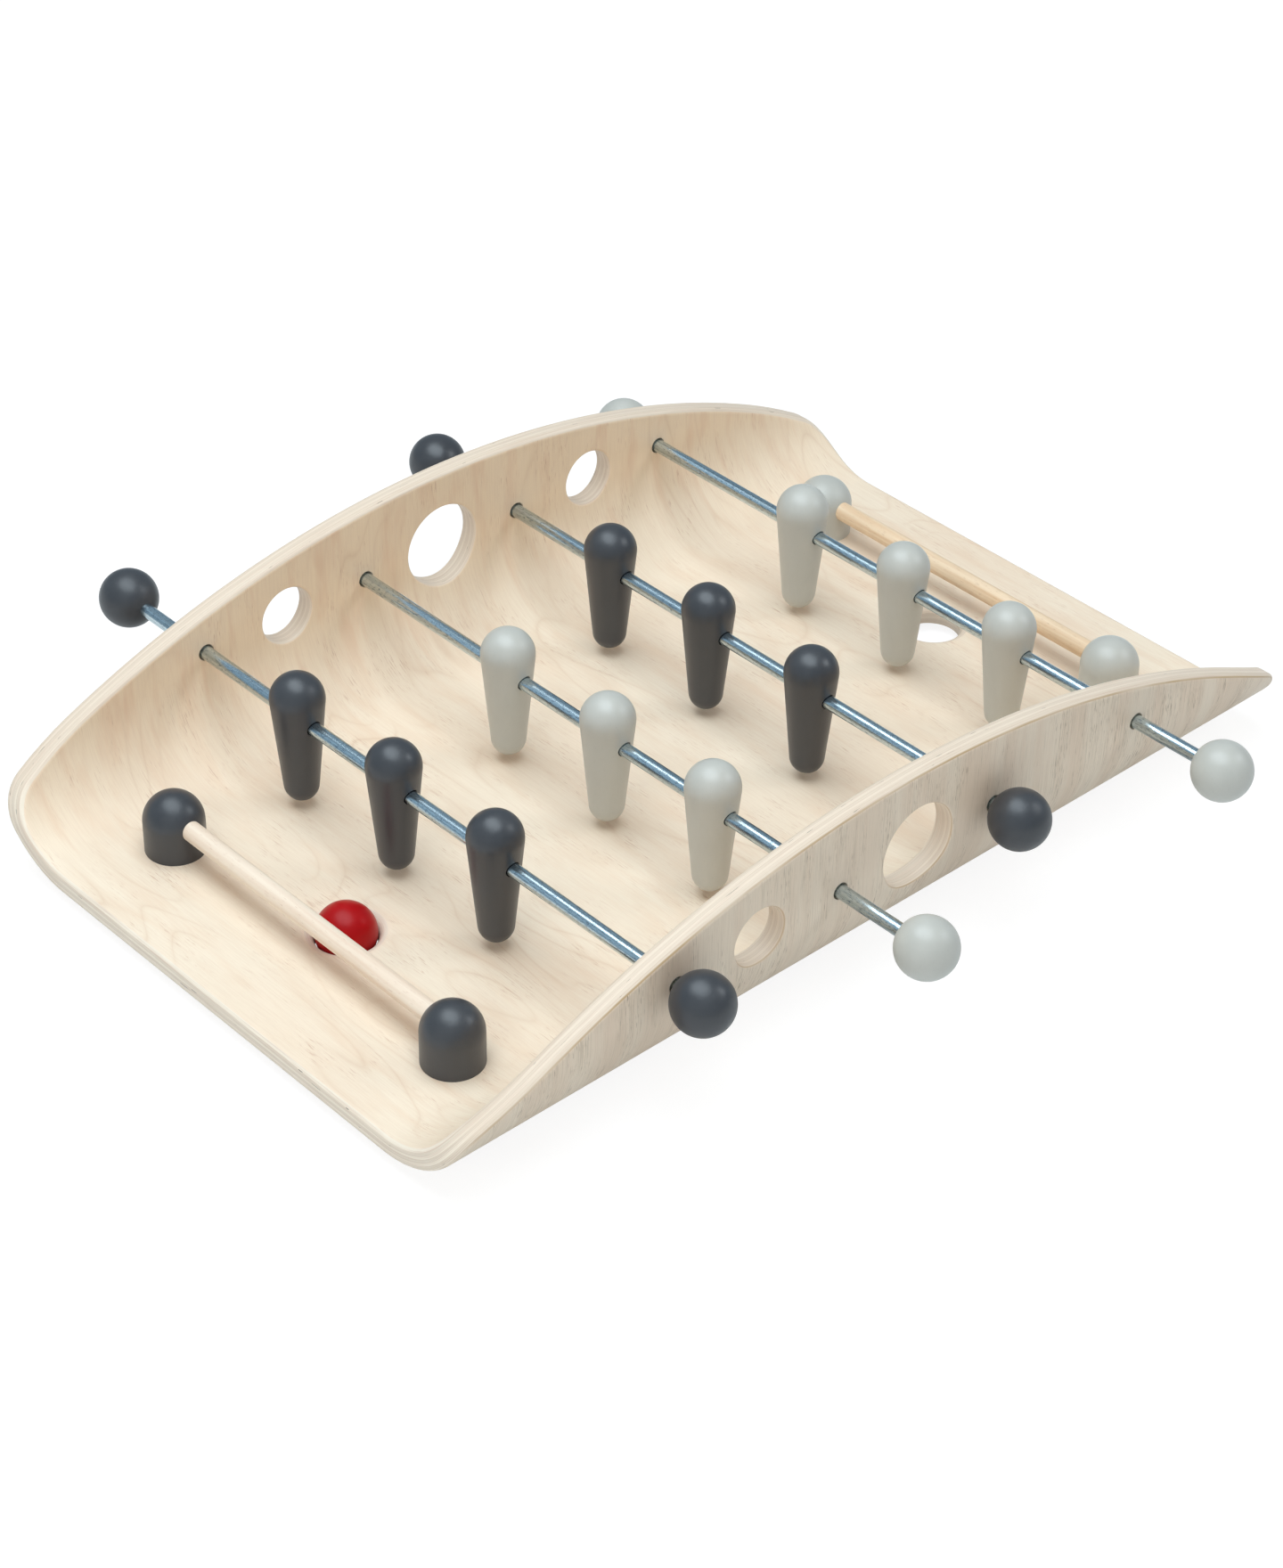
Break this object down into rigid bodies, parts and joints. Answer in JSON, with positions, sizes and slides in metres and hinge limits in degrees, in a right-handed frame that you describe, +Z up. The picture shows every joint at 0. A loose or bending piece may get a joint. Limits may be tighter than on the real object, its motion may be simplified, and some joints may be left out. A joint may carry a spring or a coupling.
{
  "type": "table football game",
  "caption": "Desk-size table football: a bent plywood tray with arched walls, steel rods that slide and spin, round knobs, turned wooden players, domed goal posts with crossbars, and a ball.",
  "frame": {"origin": "middle of the board, on the table that its rubber feet stand on", "axes": "+X along the board towards the light team's goal, +Y along the rods towards the left wall, +Z up"},
  "size_m": [0.543, 0.487, 0.109],
  "materials": {
    "plywood": "satin clear varnish over birch plywood, bare ply edges",
    "dark_paint": "satin charcoal paint over turned wood",
    "light_paint": "satin pale grey-green paint over turned wood",
    "rod_steel": "zinc-plated drawn steel",
    "red_lacquer": "glossy red lacquer over turned wood",
    "pale_bar_wood": "bare pale pinkish dowel",
    "tan_bar_wood": "bare orange-tan dowel",
    "grey_rubber": "matt grey rubber",
    "screw_steel": "zinc-plated wood screws"
  },
  "bodies": {
    "tray": {"board": "plywood", "post_screws": "screw_steel", "dark_left_post": "dark_paint", "dark_right_post": "dark_paint", "light_left_post": "light_paint", "light_right_post": "light_paint", "dark_crossbar": "pale_bar_wood", "light_crossbar": "tan_bar_wood", "dark_left_rubber_foot": "grey_rubber", "dark_right_rubber_foot": "grey_rubber", "light_left_rubber_foot": "grey_rubber", "light_right_rubber_foot": "grey_rubber"},
    "ball": {"ball": "red_lacquer"},
    "rod_1": {"rod_1": "rod_steel"},
    "rod_1_figures": {"rod_1_left_knob": "dark_paint", "rod_1_right_knob": "dark_paint", "rod_1_left_player": "dark_paint", "rod_1_middle_player": "dark_paint", "rod_1_right_player": "dark_paint"},
    "rod_2": {"rod_2": "rod_steel"},
    "rod_2_figures": {"rod_2_left_knob": "light_paint", "rod_2_right_knob": "light_paint", "rod_2_left_player": "light_paint", "rod_2_middle_player": "light_paint", "rod_2_right_player": "light_paint"},
    "rod_3": {"rod_3": "rod_steel"},
    "rod_3_figures": {"rod_3_left_knob": "dark_paint", "rod_3_right_knob": "dark_paint", "rod_3_left_player": "dark_paint", "rod_3_middle_player": "dark_paint", "rod_3_right_player": "dark_paint"},
    "rod_4": {"rod_4": "rod_steel"},
    "rod_4_figures": {"rod_4_left_knob": "light_paint", "rod_4_right_knob": "light_paint", "rod_4_left_player": "light_paint", "rod_4_middle_player": "light_paint", "rod_4_right_player": "light_paint"}
  },
  "joints": [
    {"name": "rod_1_slide", "type": "slide", "parent": "tray", "child": "rod_1", "axis": [0, 1, 0], "range_m": [-0.0382, 0.0012]},
    {"name": "rod_1_spin", "type": "hinge", "parent": "rod_1", "child": "rod_1_figures", "pos_m": [-0.15, 0.0185, 0.067], "axis": [0, 1, 0], "continuous": true},
    {"name": "rod_2_slide", "type": "slide", "parent": "tray", "child": "rod_2", "axis": [0, 1, 0], "range_m": [-0.0012, 0.0382]},
    {"name": "rod_2_spin", "type": "hinge", "parent": "rod_2", "child": "rod_2_figures", "pos_m": [-0.05, -0.0185, 0.067], "axis": [0, 1, 0], "continuous": true},
    {"name": "rod_3_slide", "type": "slide", "parent": "tray", "child": "rod_3", "axis": [0, 1, 0], "range_m": [-0.0382, 0.0012]},
    {"name": "rod_3_spin", "type": "hinge", "parent": "rod_3", "child": "rod_3_figures", "pos_m": [0.05, 0.0185, 0.067], "axis": [0, 1, 0], "continuous": true},
    {"name": "rod_4_slide", "type": "slide", "parent": "tray", "child": "rod_4", "axis": [0, 1, 0], "range_m": [-0.0012, 0.0382]},
    {"name": "rod_4_spin", "type": "hinge", "parent": "rod_4", "child": "rod_4_figures", "pos_m": [0.15, -0.0185, 0.067], "axis": [0, 1, 0], "continuous": true},
    {"name": "ball_lift", "type": "slide", "parent": "tray", "child": "ball", "axis": [0, 0, 1], "range_m": [0, 0.06]}
  ]
}
